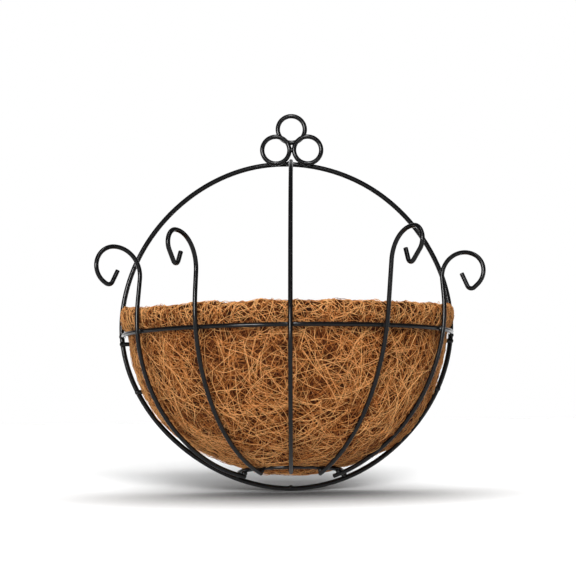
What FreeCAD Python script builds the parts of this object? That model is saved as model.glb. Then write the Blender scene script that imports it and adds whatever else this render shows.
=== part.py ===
"""Half-round wall planter: a wire basket on a round back hoop, lined with coir.

Millimetres. Every piece is laid out about the centre of the back hoop (+X right, -Y out
from the wall, +Z up) and then moved so that the origin is the hanging point, the
inner crown of the top finial ring.
"""
import FreeCAD, Part
import math
import os

# Driving dimensions
WIRE_R = 2.25            # wire of the ribs, rim, foot ring and bars, 4.5 mm across
HOOP_WIRE_R = 2.65       # wire of the back hoop, 5.3 mm across
RING_WIRE_R = 2.45       # wire of the finial rings, 4.9 mm across
LAP_GAP = 0.3            # air left between two wires that are welded together
LAP = 2 * WIRE_R + LAP_GAP
HOOP_FACE = HOOP_WIRE_R + LAP_GAP     # from the hoop's centreline to a wire end on it
HOOP_LAP = HOOP_FACE + WIRE_R

HOOP_R = 175.0           # centreline of the back hoop, 355 mm over the wire
# The hoop is bent by hand: degrees from +X towards +Z, and mm off the true circle there
HOOP_SWELL = (
    (0, 1.9), (25, 0.1), (60, -0.7), (100, 0.0), (150, 0.1), (188, 3.0),
    (210, 0.0), (233, -2.6), (268, 0.0), (292, 0.2), (316, -0.6), (340, 1.1),
)

RIM_R = 175.3            # half-round front rim
RIM_Z = -11.7
FOOT_HALF_WIDTH = 55.5   # half ring that gathers the ribs under the bowl
FOOT_DEPTH = 61.0
FOOT_X = 1.8
FOOT_Z = -158.4
FOOT_RISE_DEG = 8.2

FINIAL_RING_R = 14.8     # centreline radius of each of the three rings
FINIAL_X = 7.0
FINIAL_LOW_Z = 189.5
FINIAL_TOP_Z = 213.5
FINIAL_HALF_SPACING = 17.3

UPPER_BAR = (-178.8, 177.6, -20.0)     # from x, to x, at z
LOWER_BAR = (-160.8, 160.5, -71.0)

# Each rib is bent in its own upright plane. azimuth is that plane, from the front
# towards +X; foot is (distance from the axis, height) of the lower cut end; heading is
# the slope there in degrees. Positive turns bend up and in, negative turns curl out.
# An entry of one number is a straight length, two are a bend's radius and angle.
RIBS = {
    "rib_outer_left": {
        "azimuth": -58.0, "foot": (54.9, -160.6), "heading": 12.2,
        "bends": [(150.2, 24.0), (167.0, 59.6), (24.3,), (28.3, -95.7),
                  (19.6, -147.8), (1.9,), (4.7, -95.5), (12.9,)],
    },
    "rib_inner_left": {
        "azimuth": -30.5, "foot": (59.3, -156.5), "heading": 18.0,
        "bends": [(178.6, 49.0), (163.5, 28.3), (18.6,), (33.5, -98.6),
                  (12.8, -121.7), (11.6,), (4.7, -119.7), (9.9,)],
    },
    "rib_inner_right": {
        "azimuth": 30.5, "foot": (59.9, -157.4), "heading": 24.3,
        "bends": [(214.7, 48.7), (181.5, 8.9), (46.8,), (33.9, -86.1),
                  (13.3, -132.8), (13.7,), (5.0, -114.0), (10.9,)],
    },
    "rib_outer_right": {
        "azimuth": 59.3, "foot": (53.4, -161.3), "heading": 18.8,
        "bends": [(191.0, 58.0), (154.2, 17.8), (14.6,), (23.5, -127.1),
                  (18.0, -107.3), (4.7,), (4.8, -105.9), (14.1,)],
    },
}

# The middle rib runs from the foot over the rim and back to the crown of the hoop
CENTRE_FOOT = (60.5, -155.2)
CENTRE_FOOT_HEADING = 17.0
CENTRE_RIM = (RIM_R + LAP + 0.1, RIM_Z)
CENTRE_RIM_HEADING = 92.0
CENTRE_CROWN = (HOOP_FACE, 174.4)
CENTRE_CROWN_HEADING = 180.0
CENTRE_TURN_DEG = -1.86  # the rib's plane is swung and leant a little out of square
CENTRE_LEAN_DEG = 0.69
CENTRE_X = 4.2

LINER_WALL = 9.0
LINER_R = 168.9          # the round of the bowl, inside the rim
LINER_HALF_STRIP = 3.1   # each half stands this far out from the middle, so it is wider than deep
LINER_BACK_Y = -(HOOP_LAP + WIRE_R + LAP_GAP)
LINER_TOP_Z = 13.5
LINER_LIP_R = 175.4      # above the rim the edge spreads out to the ribs
LINER_LIP_Z = 4.0
LINER_LIP_ROUND = 1.5
LINER_LIP_EASE = 0.2     # the lip's face is this much inside its widest line half way up
INNER_RISE = 1.0         # the hollow's own height above the lip, so that it opens the top
LINER_NECK_Z = -9.0
LINER_SIDE_END_DEG = 38.0   # below this slope the coir flattens towards the foot ring
# Under the sides: distance from the axis, height, and the wall's slope in degrees there.
# The coir sags through the foot ring between its seat on the ring and the bottom.
LINER_SHOULDER = (101.5, -130.3, 33.0)
LINER_SEAT = (64.0, -147.6, 21.0)
LINER_SAG = (32.0, -157.0, 11.0)
LINER_BOTTOM_Z = -160.2
GROOVE_GAP = 0.3         # air round a wire where it bears into the coir

BEAD_R = 3.1             # weld metal at two crossing wires
SMALL_BEAD_R = 2.7
SEAM_X = 1.5             # where the hoop wire's two ends meet, at the bottom
SEAM_R = 3.2
SEAM_RISE = 0.4

UP = FreeCAD.Vector(0, 0, 1)
RIGHT = FreeCAD.Vector(1, 0, 0)
CENTRE = FreeCAD.Vector(0, 0, 0)
HANG = FreeCAD.Vector(FINIAL_X, 0, FINIAL_TOP_Z + FINIAL_RING_R - RING_WIRE_R)


def vec(x, y, z):
    return FreeCAD.Vector(x, y, z)


def tube(path, start, direction, radius=WIRE_R):
    """Round wire swept along an open path."""
    section = Part.Wire(Part.makeCircle(radius, start, direction))
    return path.makePipeShell([section], True, False)


def bend_path(start, heading_deg, bends):
    """Tangent lines and arcs in the X-Z plane."""
    point = vec(start[0], 0, start[1])
    heading = math.radians(heading_deg)
    edges = []
    for bend in bends:
        along = vec(math.cos(heading), 0, math.sin(heading))
        if len(bend) == 1:
            end = point + along * bend[0]
            edges.append(Part.LineSegment(point, end).toShape())
        else:
            radius, turn_deg = bend
            turn = math.radians(turn_deg)
            side = math.copysign(1, turn)
            centre = point + vec(-along.z, 0, along.x) * (side * radius)
            arm = point - centre
            middle = centre + turned(arm, turn / 2)
            end = centre + turned(arm, turn)
            edges.append(Part.Arc(point, middle, end).toShape())
            heading += turn
        point = end
    return Part.Wire(edges)


def turned(arm, angle):
    """A vector in the X-Z plane turned from +X towards +Z."""
    return vec(arm.x * math.cos(angle) - arm.z * math.sin(angle), 0,
               arm.x * math.sin(angle) + arm.z * math.cos(angle))


def two_bends(start, heading_deg, end, end_heading_deg):
    """Two equal turns whose radii carry the path from start to end."""
    turn = math.radians(end_heading_deg - heading_deg) / 2
    h0 = math.radians(heading_deg)
    h1 = h0 + turn
    h2 = h1 + turn
    a, b = math.sin(h1) - math.sin(h0), math.sin(h2) - math.sin(h1)
    c, d = math.cos(h0) - math.cos(h1), math.cos(h1) - math.cos(h2)
    dx, dz = end[0] - start[0], end[1] - start[1]
    det = a * d - b * c
    return [((dx * d - b * dz) / det, math.degrees(turn)),
            ((a * dz - c * dx) / det, math.degrees(turn))]


def bent_wire(start, heading_deg, bends, radius=WIRE_R):
    """A wire of tangent bends in the X-Z plane, X being the distance from the axis."""
    slope = math.radians(heading_deg)
    direction = vec(math.cos(slope), 0, math.sin(slope))
    return tube(bend_path(start, heading_deg, bends), vec(start[0], 0, start[1]), direction, radius)


def to_azimuth(shape, azimuth_deg):
    """Turn a shape from the X-Z plane to an azimuth measured from the front."""
    shape.rotate(CENTRE, UP, azimuth_deg - 90)
    return shape


def hoop_point(angle_deg, off):
    a = math.radians(angle_deg)
    return vec((HOOP_R + off) * math.cos(a), 0, (HOOP_R + off) * math.sin(a))


def back_hoop():
    curve = Part.BSplineCurve()
    curve.interpolate([hoop_point(a, off) for a, off in HOOP_SWELL], PeriodicFlag=True)
    path = Part.Wire(curve.toShape())
    start = curve.value(curve.FirstParameter)
    direction = curve.tangent(curve.FirstParameter)[0]
    return curve, tube(path, start, direction, HOOP_WIRE_R)


def front_rim():
    end_y = -HOOP_FACE
    reach = math.asin(-end_y / RIM_R)
    left = vec(-RIM_R * math.cos(reach), end_y, RIM_Z)
    right = vec(RIM_R * math.cos(reach), end_y, RIM_Z)
    path = Part.Wire(Part.Arc(left, vec(0, -RIM_R, RIM_Z), right).toShape())
    return tube(path, left, vec(-math.sin(reach), -math.cos(reach), 0))


def foot_point(angle_deg):
    """A point on the foot ring's centreline, its angle counted from the front."""
    a = math.radians(angle_deg)
    rise = math.radians(FOOT_RISE_DEG)
    out = FOOT_DEPTH * math.cos(a)
    return vec(FOOT_X + FOOT_HALF_WIDTH * math.sin(a), -out * math.cos(rise),
               FOOT_Z + out * math.sin(rise))


def foot_ring(radius=WIRE_R):
    rise = math.radians(FOOT_RISE_DEG)
    forward = vec(0, -math.cos(rise), math.sin(rise))
    middle = vec(FOOT_X, 0, FOOT_Z)
    ellipse = Part.Ellipse(middle + forward * FOOT_DEPTH,
                           middle + RIGHT * FOOT_HALF_WIDTH, middle)
    first = ellipse.parameter(foot_point(90))
    front = ellipse.parameter(foot_point(0))
    last = ellipse.parameter(foot_point(-90))
    low, high = min(first, last), max(first, last)
    if not low < front < high:
        low, high = high, low + 2 * math.pi
    path = Part.Wire(ellipse.toShape(low, high))
    return tube(path, ellipse.value(low), ellipse.tangent(low)[0], radius)


def centre_rib():
    bends = two_bends(CENTRE_FOOT, CENTRE_FOOT_HEADING, CENTRE_RIM, CENTRE_RIM_HEADING)
    bends += two_bends(CENTRE_RIM, CENTRE_RIM_HEADING, CENTRE_CROWN, CENTRE_CROWN_HEADING)
    return to_azimuth(bent_wire(CENTRE_FOOT, CENTRE_FOOT_HEADING, bends), 0)


def set_centre_plane(shape):
    shape.rotate(CENTRE, vec(0, 1, 0), CENTRE_LEAN_DEG)
    shape.rotate(CENTRE, UP, CENTRE_TURN_DEG)
    shape.translate(vec(CENTRE_X, 0, 0))
    return shape


def side_rib(rib, radius=WIRE_R):
    wire = bent_wire(rib["foot"], rib["heading"], rib["bends"], radius)
    return to_azimuth(wire, rib["azimuth"])


def finial_ring(x, y, z):
    return Part.makeTorus(FINIAL_RING_R, RING_WIRE_R, vec(x, y, z), vec(0, 1, 0))


def back_bar(bar):
    x0, x1, z = bar
    return Part.makeCylinder(WIRE_R, x1 - x0, vec(x0, -HOOP_LAP, z), RIGHT)


def wall_point(station, inset):
    """A point of the liner's outline, moved in by inset square to the wall."""
    distance, height, slope_deg = station
    slope = math.radians(slope_deg)
    return vec(distance - inset * math.sin(slope), 0, height + inset * math.cos(slope))


def liner_body(inset):
    """The bowl's outside, or with an inset its inside, cut flat at the back."""
    r = LINER_R - inset
    lip = LINER_LIP_R - inset
    top = LINER_TOP_Z + (INNER_RISE if inset else 0)
    slope = math.radians(LINER_SIDE_END_DEG)
    half_slope = slope / 2
    neck = vec(r * math.cos(math.asin(-LINER_NECK_Z / r)), 0, LINER_NECK_Z)
    side_middle = vec(r * math.cos(half_slope), 0, -r * math.sin(half_slope))
    side_end = vec(r * math.cos(slope), 0, -r * math.sin(slope))
    shoulder, seat, sag = [wall_point(station, inset)
                           for station in (LINER_SHOULDER, LINER_SEAT, LINER_SAG)]
    bottom = vec(0, 0, LINER_BOTTOM_Z + inset)
    edge = vec(lip - LINER_LIP_ROUND, 0, top)
    lip_middle = vec(lip - LINER_LIP_EASE, 0, (top + LINER_LIP_Z) / 2 + LINER_LIP_ROUND / 2)
    lip_low = vec(lip, 0, LINER_LIP_Z)
    outline = Part.Wire([
        Part.LineSegment(vec(0, 0, top), edge).toShape(),
        Part.Arc(edge, lip_middle, lip_low).toShape(),
        Part.LineSegment(lip_low, neck).toShape(),
        Part.Arc(neck, side_middle, side_end).toShape(),
        Part.Arc(side_end, shoulder, seat).toShape(),
        Part.Arc(seat, sag, bottom).toShape(),
        Part.LineSegment(bottom, vec(0, 0, top)).toShape(),
    ])
    right = Part.Face(outline).revolve(CENTRE, UP, -90)
    left = right.mirror(CENTRE, RIGHT)
    right.translate(RIGHT * LINER_HALF_STRIP)
    left.translate(RIGHT * -LINER_HALF_STRIP)
    strip = Part.Face(outline)
    strip.rotate(CENTRE, UP, -90)
    strip.translate(RIGHT * -LINER_HALF_STRIP)
    middle = strip.extrude(RIGHT * (2 * LINER_HALF_STRIP))
    body = middle.fuse([left, right]).removeSplitter()
    depth = 2 * LINER_LIP_R
    behind = Part.makeBox(2 * depth, depth, 2 * depth,
                          vec(-depth, LINER_BACK_Y - inset, -depth))
    return body.cut(behind)


def coir_liner():
    """The moulded shell, with grooves where the basket's wires bear into it."""
    groove = WIRE_R + GROOVE_GAP
    shell = liner_body(0).cut(liner_body(LINER_WALL)).cut(foot_ring(groove))
    for rib in RIBS.values():
        shell = shell.cut(side_rib(rib, groove))
    return max(shell.Solids, key=lambda solid: solid.Volume)


def half(shape, side):
    """The part of a shape on the left (-1) or the right (+1)."""
    size = 3 * HOOP_R
    corner = vec(0 if side > 0 else -size, -size, -size)
    return shape.common(Part.makeBox(size, 2 * size, 2 * size, corner))


def bead(first, second, radius):
    """Weld metal where two wires are closest: a ball with both wires cut out of it."""
    _, pairs, _ = first.distToShape(second)
    near = pairs[0]
    ball = Part.makeSphere(radius, (near[0] + near[1]) * 0.5)
    metal = ball.cut(first).cut(second)
    return max(metal.Solids, key=lambda solid: solid.Volume)


def beads(pairs, radius=BEAD_R):
    return Part.makeCompound([bead(first, second, radius) for first, second in pairs])


def seam(hoop, curve):
    """The bump left where the two ends of the hoop wire were butted together."""
    bottom = vec(SEAM_X, 0, -HOOP_R)
    where = curve.value(curve.parameter(bottom))
    lump = Part.makeSphere(SEAM_R, where + UP * SEAM_RISE)
    metal = lump.cut(hoop)
    return max(metal.Solids, key=lambda solid: solid.Volume)


def main():
    os.makedirs("parts", exist_ok=True)
    curve, hoop = back_hoop()
    rim = front_rim()
    foot = foot_ring()
    centre = set_centre_plane(centre_rib())
    ribs = {name: side_rib(rib) for name, rib in RIBS.items()}
    all_ribs = list(ribs.values()) + [centre]
    upper, lower = back_bar(UPPER_BAR), back_bar(LOWER_BAR)
    low_y = -(HOOP_FACE + RING_WIRE_R)
    top_ring = finial_ring(FINIAL_X, 0, FINIAL_TOP_Z)
    left_ring = finial_ring(FINIAL_X - FINIAL_HALF_SPACING, low_y, FINIAL_LOW_Z)
    right_ring = finial_ring(FINIAL_X + FINIAL_HALF_SPACING, low_y, FINIAL_LOW_Z)
    sides = (-1, 1)
    parts = {
        "back_hoop": hoop,
        "front_rim": rim,
        "foot_ring": foot,
        "centre_rib": centre,
        **ribs,
        "upper_back_bar": upper,
        "lower_back_bar": lower,
        "finial_ring_top": top_ring,
        "finial_ring_left": left_ring,
        "finial_ring_right": right_ring,
        "coir_liner": coir_liner(),
        "rim_rib_welds": beads([(rim, rib) for rib in all_ribs]),
        "foot_rib_welds": beads([(foot, rib) for rib in all_ribs]),
        "rim_end_welds": beads([(half(rim, s), half(hoop, s)) for s in sides]),
        "foot_end_welds": beads([(half(foot, s), half(hoop, s)) for s in sides]),
        "back_bar_welds": beads([(half(bar, s), half(hoop, s))
                                 for bar in (upper, lower) for s in sides]),
        "crown_weld": beads([(centre, hoop)]),
        "finial_hoop_welds": beads([(left_ring, hoop), (right_ring, hoop)]),
        "finial_ring_welds": beads([(top_ring, left_ring), (top_ring, right_ring),
                                    (left_ring, right_ring)], SMALL_BEAD_R),
        "hoop_seam_weld": seam(hoop, curve),
    }
    for name, shape in parts.items():
        shape.translate(CENTRE - HANG)
        shape.exportStep("parts/%s.step" % name)
        print(name, len(shape.Solids), "solids", "%.0f mm3" % shape.Volume)


main()
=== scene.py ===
import math
import bmesh
import bpy
import numpy as np
from mathutils import Matrix, Vector, noise
from mathutils.bvhtree import BVHTree


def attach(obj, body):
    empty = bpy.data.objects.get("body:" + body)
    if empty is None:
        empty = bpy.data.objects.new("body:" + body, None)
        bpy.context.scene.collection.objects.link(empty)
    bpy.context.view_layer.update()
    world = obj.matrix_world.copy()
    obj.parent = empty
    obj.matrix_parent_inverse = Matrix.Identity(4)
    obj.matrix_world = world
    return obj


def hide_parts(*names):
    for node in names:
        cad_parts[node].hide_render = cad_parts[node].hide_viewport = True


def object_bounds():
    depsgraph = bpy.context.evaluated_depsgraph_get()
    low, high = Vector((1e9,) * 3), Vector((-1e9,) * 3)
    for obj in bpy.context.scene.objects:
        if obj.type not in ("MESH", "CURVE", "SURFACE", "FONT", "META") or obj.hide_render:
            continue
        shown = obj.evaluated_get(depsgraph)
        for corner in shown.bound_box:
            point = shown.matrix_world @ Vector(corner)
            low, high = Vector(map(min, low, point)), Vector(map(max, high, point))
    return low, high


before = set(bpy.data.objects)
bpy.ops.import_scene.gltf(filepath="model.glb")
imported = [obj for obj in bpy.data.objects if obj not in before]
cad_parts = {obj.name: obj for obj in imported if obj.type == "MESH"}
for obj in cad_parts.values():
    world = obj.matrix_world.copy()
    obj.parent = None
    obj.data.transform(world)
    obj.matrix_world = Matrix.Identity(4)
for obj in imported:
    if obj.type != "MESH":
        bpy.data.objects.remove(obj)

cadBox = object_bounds()
scene = bpy.context.scene
mm = 0.001
hoopCentre = Vector((-7.0, 0.0, -225.85)) * mm    # seen from the hanging point
hoopRadius = 175 * mm
print("frame in, box", cadBox)


# sockets that take part in Python sums
class Sock:
    def __init__(self, tree, out):
        self.tree = tree
        self.out = out

    def sum(self, operation, first, second):
        node = self.tree.nodes.new("ShaderNodeMath")
        node.operation = operation
        for entry, value in zip(node.inputs, (first, second)):
            plug(self.tree, entry, value)
        return Sock(self.tree, node.outputs[0])

    def __add__(self, other):
        return self.sum("ADD", self, other)

    def __radd__(self, other):
        return self.sum("ADD", other, self)

    def __sub__(self, other):
        return self.sum("SUBTRACT", self, other)

    def __rsub__(self, other):
        return self.sum("SUBTRACT", other, self)

    def __mul__(self, other):
        return self.sum("MULTIPLY", self, other)

    def __rmul__(self, other):
        return self.sum("MULTIPLY", other, self)


def plug(tree, entry, value):
    if isinstance(value, Sock):
        tree.links.new(value.out, entry)
    elif value is not None:
        entry.default_value = value


class Finish:
    # one material: node() makes any node, surface() fills the main shader
    def __init__(self, name):
        self.material = bpy.data.materials.new(name)
        self.material.use_nodes = True
        self.tree = self.material.node_tree
        self.shader = self.tree.nodes["Principled BSDF"]

    def node(self, kind, out=0, stops=None, sockets=None, **settings):
        node = self.tree.nodes.new(kind)
        for key, value in settings.items():
            setattr(node, key, value)
        if stops:
            ramp = node.color_ramp
            while len(ramp.elements) < len(stops):
                ramp.elements.new(1.0)
            for element, (place, colour) in zip(ramp.elements, stops):
                element.position = place
                element.color = (*colour, 1)
        for key, value in (sockets or {}).items():
            plug(self.tree, node.inputs[key], value)
        return Sock(self.tree, node.outputs[out])

    def place(self):
        return self.node("ShaderNodeTexCoord", out="Object")

    def grain(self, scale, detail=2.0, rough=0.5, at=None):
        return self.node("ShaderNodeTexNoise", sockets={
            "Vector": at or self.place(), "Scale": scale, "Detail": detail,
            "Roughness": rough})

    def blend(self, factor, first, second):
        return self.node("ShaderNodeMix", out=2, data_type="RGBA", sockets={
            0: factor, 6: first, 7: second})

    def grey(self, value):
        return self.node("ShaderNodeCombineColor", sockets={
            "Red": value, "Green": value, "Blue": value})

    def bump(self, height, strength, distance):
        return self.node("ShaderNodeBump", sockets={
            "Height": height, "Strength": strength, "Distance": distance})

    def surface(self, sockets):
        for key, value in sockets.items():
            plug(self.tree, self.shader.inputs[key], value)
        return self.material


# black powder coat on every wire and weld
blackCoat = {
    "colour": (0.005, 0.005, 0.0054, 1),
    "roughness": 0.15,
    "roughSpread": 0.05,
    "patchScale": 60.0,      # slow changes of tone and gloss, about 17 mm across
    "patchLift": 1.7,        # how much lighter the light patches are
    "specular": 0.5,
    "peelScale": 700.0,      # orange peel, about 1.4 mm across
    "peelStrength": 0.05,
    "peelDepth": 0.00006,
}


def makeBlackCoat():
    coat = Finish("blackPowderCoat")
    peel = coat.grain(blackCoat["peelScale"], detail=2.0)
    patches = coat.grain(blackCoat["patchScale"], detail=3.0)
    tone = coat.blend(patches, blackCoat["colour"],
                      tuple(blackCoat["patchLift"] * c for c in blackCoat["colour"][:3]) + (1,))
    rough = blackCoat["roughness"] + (patches - 0.5) * blackCoat["roughSpread"]
    return coat.surface({
        "Base Color": tone,
        "Roughness": rough,
        "Specular IOR Level": blackCoat["specular"],
        "Normal": coat.bump(peel, blackCoat["peelStrength"], blackCoat["peelDepth"])})


coatMaterial = makeBlackCoat()
for nodeName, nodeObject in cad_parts.items():
    if nodeName == "coir_liner":
        continue
    for slot in nodeObject.material_slots:
        slot.material = coatMaterial
print("powder coat on", len(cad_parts) - 1, "wire and weld nodes")


# coir liner: a felted shell, then loose fibres laid over all of it
liner = {
    "backY": -7.75,
    "wall": 9.0,
    "roundR": 166.8,
    "halfStrip": 3.1,        # each half stands this far out from the middle
    "stripFade": 15.0,
    "roundEnd": 38.0,        # degrees below level where the round side ends
    "lip": ((164.9, 10.6), (169.2, 11.4), (172.4, 9.9), (173.8, 6.8), (173.9, 2.2),
            (172.0, -3.0), (169.2, -8.0)),
    "neck": -10.5,
    "under": ((122.5, -114.2), (101.5, -130.6), (82.0, -141.2), (64.0, -148.6),
              (32.0, -158.0), (0.0, -160.6)),
    # where (degrees below the right-hand level), spread in degrees, push outward in mm
    "fuller": ((48.0, 11.0, 3.2), (122.0, 14.0, -2.5)),
    "profileSteps": 18,
    "stillCore": 20.0,       # nearer the middle than this the push fades out, mm
    "voxel": 2.6,
    "turns": 84,
    "endRise": 6.0,          # how much higher the lip stands at the two ends
    "endRisePower": 7,       # how late towards the ends that rise begins
    "lipWaviness": 2.4,
    "lipWaves": ((23.0, 1.0), (7.0, 0.5)),    # length in mm and share of the waviness
    "lipFadeStart": -6.0,    # the lip's waves fade in above this height
    "lipFadeDepth": 16.0,
    "lipZone": -8.0,         # above this height a place counts as lip
    "backZone": 3.0,
    "lumps": ((34.0, 1.0), (11.0, 0.8), (4.0, 0.4)),   # size and height, mm
    "wireGap": 0.35,
    "dentReach": 8.0,
    "dentFade": 0.72,        # share of a dent that passes on to the next points
    "dentSpread": 7,
}
wireNodes = ("front_rim", "foot_ring", "centre_rib", "rib_outer_left", "rib_inner_left",
             "rib_inner_right", "rib_outer_right", "upper_back_bar", "lower_back_bar")


def wireTree():
    wires = bmesh.new()
    for name in wireNodes:
        wires.from_mesh(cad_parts[name].data)
    tree = BVHTree.FromBMesh(wires)
    wires.free()
    return tree


def linerProfile():
    points = list(liner["lip"])
    steps = liner["profileSteps"]
    end = math.radians(liner["roundEnd"])
    start = math.asin(-liner["neck"] / liner["roundR"])
    for i in range(steps + 1):
        a = start + (end - start) * i / steps
        points.append((liner["roundR"] * math.cos(a), -liner["roundR"] * math.sin(a)))
    return points + list(liner["under"])


def linerShell():
    mesh = bmesh.new()
    chain = [mesh.verts.new(Vector((r, 0, z)) * mm) for r, z in linerProfile()]
    edges = [mesh.edges.new(pair) for pair in zip(chain, chain[1:])]
    bmesh.ops.spin(mesh, geom=chain + edges, cent=(0, 0, 0), axis=(0, 0, 1),
                   angle=-math.pi, steps=liner["turns"], use_merge=False)
    bmesh.ops.remove_doubles(mesh, verts=mesh.verts, dist=0.00002)
    for vert in mesh.verts:
        vert.co.x += liner["halfStrip"] * mm * math.tanh(vert.co.x / (liner["stripFade"] * mm))
        level = math.hypot(vert.co.x, vert.co.z)
        below = math.degrees(math.atan2(-vert.co.z, vert.co.x))
        push = sum(height * math.exp(-0.5 * ((below - middle) / spread) ** 2)
                   for middle, spread, height in liner["fuller"]) * mm
        swell = 1 + push / max(level, liner["stillCore"] * mm)
        vert.co.x *= swell
        vert.co.z *= swell
    back = liner["backY"] * mm
    everything = mesh.verts[:] + mesh.edges[:] + mesh.faces[:]
    bmesh.ops.bisect_plane(mesh, geom=everything, plane_co=(0, back, 0), plane_no=(0, 1, 0),
                           dist=0.000001, clear_outer=True)
    cut = [e for e in mesh.edges if e.is_boundary
           and all(abs(v.co.y - back) < 0.00001 for v in e.verts)]
    ends = [v for v in {v for e in cut for v in e.verts}
            if sum(e in cut for e in v.link_edges) == 1]
    cut.append(mesh.edges.new(ends))
    bmesh.ops.triangle_fill(mesh, edges=cut, use_beauty=True)
    bmesh.ops.recalc_face_normals(mesh, faces=mesh.faces)
    outward = max(mesh.faces, key=lambda f: -f.calc_center_median().y)
    if outward.normal.y > 0:
        bmesh.ops.reverse_faces(mesh, faces=mesh.faces)
    bmesh.ops.translate(mesh, verts=mesh.verts, vec=hoopCentre)
    data = bpy.data.meshes.new("coirShell")
    mesh.to_mesh(data)
    mesh.free()
    shell = bpy.data.objects.new("coirShell", data)
    scene.collection.objects.link(shell)
    wall = shell.modifiers.new("wall", "SOLIDIFY")
    wall.thickness = liner["wall"] * mm
    wall.offset = -1
    wall.use_even_offset = True
    felt = shell.modifiers.new("felt", "REMESH")
    felt.mode = "VOXEL"
    felt.voxel_size = liner["voxel"] * mm
    felt.use_smooth_shade = True
    soft = shell.modifiers.new("soft", "SMOOTH")
    soft.factor = 0.5
    soft.iterations = 4
    return bakeModifiers(shell)


def bakeModifiers(piece):
    bpy.context.view_layer.update()
    graph = bpy.context.evaluated_depsgraph_get()
    data = bpy.data.meshes.new_from_object(piece.evaluated_get(graph))
    piece.modifiers.clear()
    piece.data = data
    return piece


def ruffle(shell):
    # the felt is uneven, its lip wavy and a little higher at the two ends
    points, normals = pointsAndNormals(shell)
    for i, place in enumerate(points):
        push = 0.0
        for size, height in liner["lumps"]:
            push += height * mm * noise.noise(Vector(place) / (size * mm))
        points[i] += normals[i] * push
        fade = (place[2] - hoopCentre.z - liner["lipFadeStart"] * mm) / (liner["lipFadeDepth"] * mm)
        above = max(0.0, min(1.0, fade))
        if above > 0:
            side = (place[0] - hoopCentre.x) / hoopRadius
            flat = Vector((place[0], place[1], 0))
            rise = liner["endRise"] * min(1.0, abs(side)) ** liner["endRisePower"]
            for length, share in liner["lipWaves"]:
                rise += liner["lipWaviness"] * share * noise.noise(flat / (length * mm))
            points[i][2] += above * rise * mm
    keepPoints(shell, points)


def pointsAndNormals(piece):
    count = len(piece.data.vertices)
    flat = np.empty(count * 3)
    piece.data.vertices.foreach_get("co", flat)
    normals = np.array([v.normal[:] for v in piece.data.vertices])
    return flat.reshape(-1, 3), normals


def keepPoints(piece, points):
    piece.data.vertices.foreach_set("co", points.ravel())
    piece.data.update()


def dent(shell, wires):
    # the coir swells between the wires and is pressed in where one bears on it
    points, normals = pointsAndNormals(shell)
    reach, gap = liner["dentReach"] * mm, liner["wireGap"] * mm
    depth = np.zeros(len(points))
    for i, place in enumerate(points):
        outward = Vector(normals[i])
        inside = Vector(place) - outward * reach
        hit, _, _, distance = wires.ray_cast(inside, outward, reach + gap)
        if hit:
            depth[i] = reach + gap - distance
    edges = np.array([e.vertices[:] for e in shell.data.edges])
    for _ in range(liner["dentSpread"]):
        passed = depth.copy()
        np.maximum.at(passed, edges[:, 0], depth[edges[:, 1]] * liner["dentFade"])
        np.maximum.at(passed, edges[:, 1], depth[edges[:, 0]] * liner["dentFade"])
        depth = passed
    keepPoints(shell, points - normals * depth[:, None])
    print("deepest dent", round(depth.max() / mm, 1), "mm")


wires = wireTree()
shell = linerShell()
ruffle(shell)
dent(shell, wires)
print("coir shell", len(shell.data.polygons), "faces")


# fibre families: how many, length and thickness in mm, height over the felt, tone
fibreFamilies = {
    "coirMatFine": {"seed": 11, "count": 6100, "length": (11, 27), "width": 0.42, "steps": 5,
                    "height": (-0.5, 0.4), "tone": (0.05, 0.65), "bend": 42.0, "region": "front"},
    "coirMatCoarse": {"seed": 21, "count": 5000, "length": (13, 34), "width": 0.50, "steps": 6,
                      "height": (-0.2, 1.0), "tone": (0.02, 1.0), "bend": 38.0, "region": "front"},
    "coirStrands": {"seed": 12, "count": 2600, "length": (20, 58), "width": 0.52, "steps": 10,
                    "height": (0.5, 2.0), "tone": (0.40, 1.05), "bend": 28.0, "region": "front"},
    "coirGoldenStrands": {"seed": 22, "count": 560, "length": (26, 80), "width": 0.62, "steps": 11,
                          "height": (1.2, 2.8), "tone": (0.90, 1.25), "bend": 12.0,
                          "region": "front"},
    # the lip fibres reach brighter tones than the rest: partly the coir's own paler lip, partly painted
    # light for the light falling on the lip from above
    "coirLipFibres": {"seed": 13, "count": 3200, "length": (10, 34), "width": 0.54, "steps": 7,
                      "height": (-0.2, 2.2), "tone": (0.18, 1.75), "bend": 50.0, "region": "lip"},
    "coirStrayEnds": {"seed": 23, "count": 120, "length": (8, 24), "width": 0.55, "steps": 8,
                      "height": (1.0, 3.2), "tone": (0.5, 1.1), "bend": 80.0, "region": "lip"},
    "coirInside": {"seed": 14, "count": 5200, "length": (18, 52), "width": 0.8, "steps": 6,
                   "height": (-0.3, 0.9), "tone": (0.05, 0.9), "bend": 20.0, "region": "inside"},
    "coirBack": {"seed": 15, "count": 3600, "length": (20, 60), "width": 0.8, "steps": 7,
                 "height": (-0.5, 0.25), "tone": (0.05, 0.9), "bend": 18.0, "region": "back"},
}


fibreWalk = {
    "scatter": 1.2,          # how far off its face a fibre may begin, mm
    "endTuck": 0.35,         # how deep the two ends dive into the felt, mm
    "rayStart": 1.0,         # the look for a wire starts this far under the felt, mm
    "rayReach": 4.0,
    "clearance": 0.6,        # share of the thickness kept free under a wire
    "driftShare": 0.7,
    "weave": (2.0, 9.0),
    "thickness": (0.6, 1.35),
    "endThickness": 0.3,
    "shortestStep": 0.01,    # a fibre that stands still is left out, mm
}


def regionOf(point, normal):
    # which side of the liner a place is on
    if point.z - hoopCentre.z > liner["lipZone"] * mm:
        return "lip"
    if normal.y > 0.9 and point.y > hoopCentre.y + (liner["backY"] - liner["backZone"]) * mm:
        return "back"
    return "front" if normal.dot(point - hoopCentre) > 0 else "inside"


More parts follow.
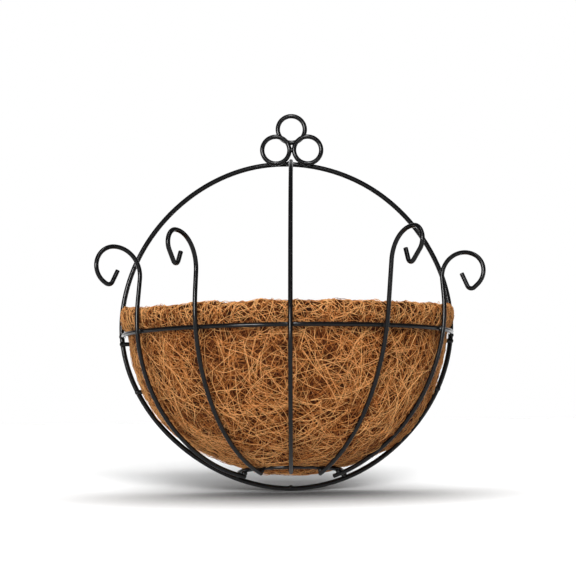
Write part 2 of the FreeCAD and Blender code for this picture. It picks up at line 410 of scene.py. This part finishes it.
def startPlaces(shell):
    places = {"front": [], "lip": [], "inside": [], "back": []}
    for face in shell.data.polygons:
        places[regionOf(face.center, face.normal)].append((face.center.copy(), face.area))
    return places


def growFibre(felt, wires, start, heading, family, rng):
    # a walk over the felt: the heading drifts, the fibre weaves up and down, its ends dive in
    steps = family["steps"]
    stride = rng.uniform(*family["length"]) * mm / steps
    lift = rng.uniform(*family["height"]) * mm
    turn = rng.normal(0, family["bend"])
    drift = rng.normal(0, family["bend"] * fibreWalk["driftShare"])
    phase = rng.uniform(0, 6.28)
    weave = rng.uniform(*fibreWalk["weave"])
    thickness = family["width"] * mm
    place = start
    path = []
    for k in range(steps + 1):
        near, normal, _, _ = felt.find_nearest(place)
        along = k / steps
        arch = min(1.0, 4.5 * min(along, 1 - along) + 0.1)
        height = lift * arch * (0.7 + 0.3 * math.sin(phase + weave * along))
        height -= fibreWalk["endTuck"] * mm * (1 - arch)
        under = fibreWalk["rayStart"] * mm
        hit, _, _, room = wires.ray_cast(near - normal * under, normal, fibreWalk["rayReach"] * mm)
        if hit:
            height = min(height, room - under - fibreWalk["clearance"] * thickness)
        path.append(near + normal * height)
        heading = heading - normal * heading.dot(normal)
        heading.normalize()
        spin = (turn + drift * math.sin(along * 5.0)) * stride
        heading = Matrix.Rotation(spin, 3, normal) @ heading
        place = near + heading * stride
    return path


def fibrePiece(name, family, places, felt, wires):
    rng = np.random.default_rng(family["seed"])
    spots = places[family["region"]]
    weights = np.array([area for _, area in spots])
    picks = rng.choice(len(spots), size=family["count"], p=weights / weights.sum())
    profile = bpy.data.curves.new(name + "Section", "CURVE")
    ring = profile.splines.new("POLY")
    ring.points.add(2)
    for i in range(3):
        a = 2 * math.pi * i / 3
        ring.points[i].co = (0.5 * family["width"] * mm * math.cos(a),
                             0.5 * family["width"] * mm * math.sin(a), 0, 1)
    ring.use_cyclic_u = True
    section = bpy.data.objects.new(name + "Section", profile)
    curve = bpy.data.curves.new(name + "Curve", "CURVE")
    curve.dimensions = "3D"
    curve.bevel_mode = "OBJECT"
    curve.bevel_object = section
    curve.use_fill_caps = True
    tones = []
    for pick in picks:
        start = spots[pick][0] + Vector(rng.normal(0, fibreWalk["scatter"] * mm, 3))
        heading = Vector(rng.normal(0, 1, 3))
        path = growFibre(felt, wires, start, heading, family, rng)
        thick = rng.uniform(*fibreWalk["thickness"])
        shortest = min((b - a).length for a, b in zip(path, path[1:]))
        if shortest < fibreWalk["shortestStep"] * mm:
            continue
        spline = curve.splines.new("POLY")
        spline.points.add(len(path) - 1)
        spline.points.foreach_set("co", [c for p in path for c in (*p, 1.0)])
        last = len(path) - 1
        spline.points.foreach_set("radius", [
            thick * (fibreWalk["endThickness"] if k in (0, last) else 1.0) for k in range(last + 1)])
        spline.use_smooth = True
        tones.append(rng.uniform(*family["tone"]))
    holder = bpy.data.objects.new(name + "Curve", curve)
    scene.collection.objects.link(holder)
    scene.collection.objects.link(section)
    bpy.context.view_layer.update()
    graph = bpy.context.evaluated_depsgraph_get()
    data = bpy.data.meshes.new_from_object(holder.evaluated_get(graph))
    bpy.data.objects.remove(holder)
    bpy.data.objects.remove(section)
    data.name = name
    each = len(data.vertices) // len(tones)
    tint = data.attributes.new("fibreTone", "FLOAT", "POINT")
    tint.data.foreach_set("value", np.repeat(np.array(tones, dtype=np.float32), each))
    piece = bpy.data.objects.new(name, data)
    scene.collection.objects.link(piece)
    print(name, len(tones), "fibres", len(data.polygons), "faces")
    return piece


coirFinish = {
    "tones": ((0.0, (0.065, 0.012, 0.002)), (0.25, (0.20, 0.049, 0.008)),
              (0.5, (0.43, 0.135, 0.030)), (0.75, (0.74, 0.290, 0.078)),
              (1.0, (0.98, 0.51, 0.190))),
    # the felt's two tones: the coir's own brown darkened as painted shade for the depth under the loose
    # fibres; the darker one is painted shade in the gaps between strands
    "shellPaintedShade": (0.012, 0.0028, 0.0008, 1),
    "shellLight": (0.085, 0.023, 0.005, 1),
    "roughness": 0.62,
    "cloudScale": 38.0,
    "cloudSpread": 0.25,
    "fleckScale": 420.0,
    "fleckSpread": 0.7,
    "strandScale": 150.0,
}


def makeFibreCoir():
    coir = Finish("coirFibre")
    tone = coir.node("ShaderNodeAttribute", out="Fac", attribute_name="fibreTone")
    clouds = coir.grain(coirFinish["cloudScale"], detail=3.0)
    flecks = coir.grain(coirFinish["fleckScale"], detail=2.0)
    mixed = (tone + (clouds - 0.5) * coirFinish["cloudSpread"]
             + (flecks - 0.5) * coirFinish["fleckSpread"])
    colour = coir.node("ShaderNodeValToRGB", stops=coirFinish["tones"], sockets={"Fac": mixed})
    return coir.surface({
        "Base Color": colour, "Roughness": coirFinish["roughness"],
        "Specular IOR Level": 0.22,
        "Normal": coir.bump(coir.grain(1500.0), 0.3, 0.0001)})


def makeShellCoir():
    # the felt under the loose fibres: thin strands crossing in three directions. Its coir brown is darkened
    # as painted shade for the depth under the fibres, darkest in the gaps between the strands
    coir = Finish("coirFelt")
    strands = 0.0
    for turn, stretch in (((0.3, 0.9, 0.2), 5.0), ((1.2, -0.5, 1.0), 6.0), ((-0.7, 0.2, 2.1), 5.0)):
        laid = coir.node("ShaderNodeMapping", sockets={
            "Vector": coir.place(), "Rotation": turn, "Scale": (1.0, stretch, stretch)})
        strands = coir.grain(coirFinish["strandScale"], detail=3.0, rough=0.65, at=laid) * (1 / 3) + strands
    clouds = coir.grain(45.0, detail=2.0)
    mask = coir.node("ShaderNodeMapRange", sockets={
        "Value": strands + (clouds - 0.5) * 0.2, "From Min": 0.42, "From Max": 0.60})
    colour = coir.blend(mask, coirFinish["shellPaintedShade"], coirFinish["shellLight"])
    return coir.surface({
        "Base Color": colour, "Roughness": 0.85, "Specular IOR Level": 0.15,
        "Normal": coir.bump(strands, 0.9, 0.0012)})


fibreCoir = makeFibreCoir()
shell.data.materials.clear()
shell.data.materials.append(makeShellCoir())
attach(shell, "root")
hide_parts("coir_liner")
graph = bpy.context.evaluated_depsgraph_get()
felt = BVHTree.FromObject(shell, graph)
places = startPlaces(shell)
for familyName, family in fibreFamilies.items():
    piece = fibrePiece(familyName, family, places, felt, wires)
    piece.data.materials.append(fibreCoir)
    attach(piece, "root")


# floor, light and camera
studio = {
    "floorSize": 16.0,
    "floorTone": 0.27,
    "floorSeen": 3.0,        # how much paler the floor looks to the camera than it lights
    "contactReach": 0.165,    # the floor's shade deepens this close to the basket
    "contactPower": 1.8,
    "behindFade": (0.0, 1.0),        # metres behind the wall plane, in a wire's gloss
    "worldBehindFade": (0.75, 0.98),
    "skyLevel": 0.15,        # the world and the lamps add up to about 1 on the object
    "frontSky": 0.02,        # the dim room behind the camera, in a wire's gloss
    "keySun": {"azimuth": 6.0, "elevation": 30.0, "strength": 1.70, "angle": 34.0,
               "inGloss": False},
    "sideSun": {"azimuth": -28.0, "elevation": 6.0, "strength": 1.45, "angle": 20.0,
                "inGloss": True},
    "floorSun": {"azimuth": 5.0, "elevation": 12.0, "strength": 13.0, "angle": 28.0,
                 "inGloss": False},
    "topStrip": {"azimuth": 2.0, "elevation": 45.0, "distance": 2.0, "size": (0.15, 2.0),
                 "power": 9.5},
}


def seenBackground(tree, gloss=1.0):
    # 1 where the camera sees the background, straight or in a wire's gloss
    path = tree.nodes.new("ShaderNodeLightPath")
    rays = [Sock(tree, path.outputs[k])
            for k in ("Is Camera Ray", "Is Glossy Ray", "Is Transmission Ray")]
    return rays[0] + rays[1] * gloss + rays[2]


def makeFloor():
    mesh = bmesh.new()
    bmesh.ops.create_grid(mesh, x_segments=1, y_segments=1, size=studio["floorSize"] / 2)
    bmesh.ops.translate(mesh, verts=mesh.verts, vec=(0, 0, cadBox[0][2]))
    data = bpy.data.meshes.new("studioFloor")
    mesh.to_mesh(data)
    mesh.free()
    floor = bpy.data.objects.new("studioFloor", data)
    scene.collection.objects.link(floor)
    paper = Finish("floorPaper")
    tooth = paper.grain(300.0)
    place = paper.node("ShaderNodeSeparateXYZ", out="Y", sockets={"Vector": paper.place()})
    behind = paper.node("ShaderNodeMapRange", sockets={
        "Value": place, "From Min": studio["behindFade"][0],
        "From Max": studio["behindFade"][1]})
    seen = seenBackground(paper.tree, behind)
    contact = paper.node("ShaderNodeAmbientOcclusion", out="AO", samples=8,
                         sockets={"Distance": studio["contactReach"]})
    shade = contact.sum("POWER", contact, studio["contactPower"])
    paler = 1.0 + seen * (studio["floorSeen"] * shade - 1.0)
    paper.surface({
        "Base Color": paper.grey(paler * studio["floorTone"]), "Roughness": 0.9,
        "Specular IOR Level": 0.0, "Normal": paper.bump(tooth, 0.05, 0.0002)})
    data.materials.append(paper.material)
    return floor


def facing(facts):
    # the way from the basket to a lamp, azimuth 0 towards the camera and 90 to its right
    azimuth, elevation = math.radians(facts["azimuth"]), math.radians(facts["elevation"])
    return Vector((math.sin(azimuth) * math.cos(elevation),
                   -math.cos(azimuth) * math.cos(elevation), math.sin(elevation)))


def softSun(name):
    facts = studio[name]
    light = bpy.data.lights.new(name, "SUN")
    light.energy = facts["strength"]
    light.angle = math.radians(facts["angle"])
    sun = bpy.data.objects.new(name, light)
    scene.collection.objects.link(sun)
    sun.rotation_euler = facing(facts).to_track_quat("Z", "Y").to_euler()
    sun.visible_glossy = facts["inGloss"]
    return sun


def softStrip(name):
    facts = studio[name]
    light = bpy.data.lights.new(name, "AREA")
    light.shape = "RECTANGLE"
    light.size, light.size_y = facts["size"]
    light.energy = facts["power"]
    strip = bpy.data.objects.new(name, light)
    scene.collection.objects.link(strip)
    strip.location = hoopCentre + facing(facts) * facts["distance"]
    strip.rotation_euler = facing(facts).to_track_quat("Z", "Y").to_euler()


def makeWorld():
    world = bpy.data.worlds.new("studioWorld")
    scene.world = world
    world.use_nodes = True
    tree = world.node_tree
    back = tree.nodes["Background"]
    place = tree.nodes.new("ShaderNodeTexCoord")
    parts = tree.nodes.new("ShaderNodeSeparateXYZ")
    tree.links.new(place.outputs["Generated"], parts.inputs["Vector"])
    fade = tree.nodes.new("ShaderNodeMapRange")
    tree.links.new(parts.outputs["Y"], fade.inputs["Value"])
    fade.inputs["From Min"].default_value = studio["worldBehindFade"][0]
    fade.inputs["From Max"].default_value = studio["worldBehindFade"][1]
    behind = Sock(tree, fade.outputs[0])
    path = tree.nodes.new("ShaderNodeLightPath")
    gloss = Sock(tree, path.outputs["Is Glossy Ray"])
    room = gloss * (1.0 - behind) * (studio["frontSky"] - studio["skyLevel"])
    white = seenBackground(tree, behind) * (1.0 - studio["skyLevel"])
    level = studio["skyLevel"] + white + room
    back.inputs["Color"].default_value = (1, 1, 1, 1)
    plug(tree, back.inputs["Strength"], level)


photoCamera = {
    "focalPixels": 1268.5,   # over a picture 576 pixels wide
    "pictureWidth": 576,
    "side": -0.2001,         # all three in hoop radii from the hoop's centre
    "distance": 7.80,
    "height": -0.527,
    "pitch": 5.50,
    "yaw": 1.52,
    "roll": -0.72,
}


def makeCamera():
    facts = photoCamera
    data = bpy.data.cameras.new("photoCamera")
    data.sensor_width = 36.0
    data.lens = 36.0 * facts["focalPixels"] / facts["pictureWidth"]
    data.clip_end = 50
    camera = bpy.data.objects.new("photoCamera", data)
    scene.collection.objects.link(camera)
    pitch, yaw, roll = (math.radians(facts[k]) for k in ("pitch", "yaw", "roll"))
    ahead = Vector((math.sin(yaw) * math.cos(pitch), math.cos(yaw) * math.cos(pitch),
                    math.sin(pitch)))
    right = Vector((math.cos(yaw), -math.sin(yaw), 0))
    up = right.cross(ahead)
    level = Matrix((right, up, -ahead)).transposed()
    turned = level @ Matrix.Rotation(roll, 3, "Z")
    camera.matrix_world = turned.to_4x4()
    camera.location = hoopCentre + hoopRadius * Vector(
        (facts["side"], -facts["distance"], facts["height"]))
    scene.camera = camera


floor = makeFloor()
softSun("keySun")
softSun("sideSun")
onlyFloor = bpy.data.collections.new("onlyFloor")
onlyFloor.objects.link(floor)
softSun("floorSun").light_linking.receiver_collection = onlyFloor
softStrip("topStrip")
makeWorld()
makeCamera()
scene.view_settings.view_transform = "Standard"
print("studio ready")
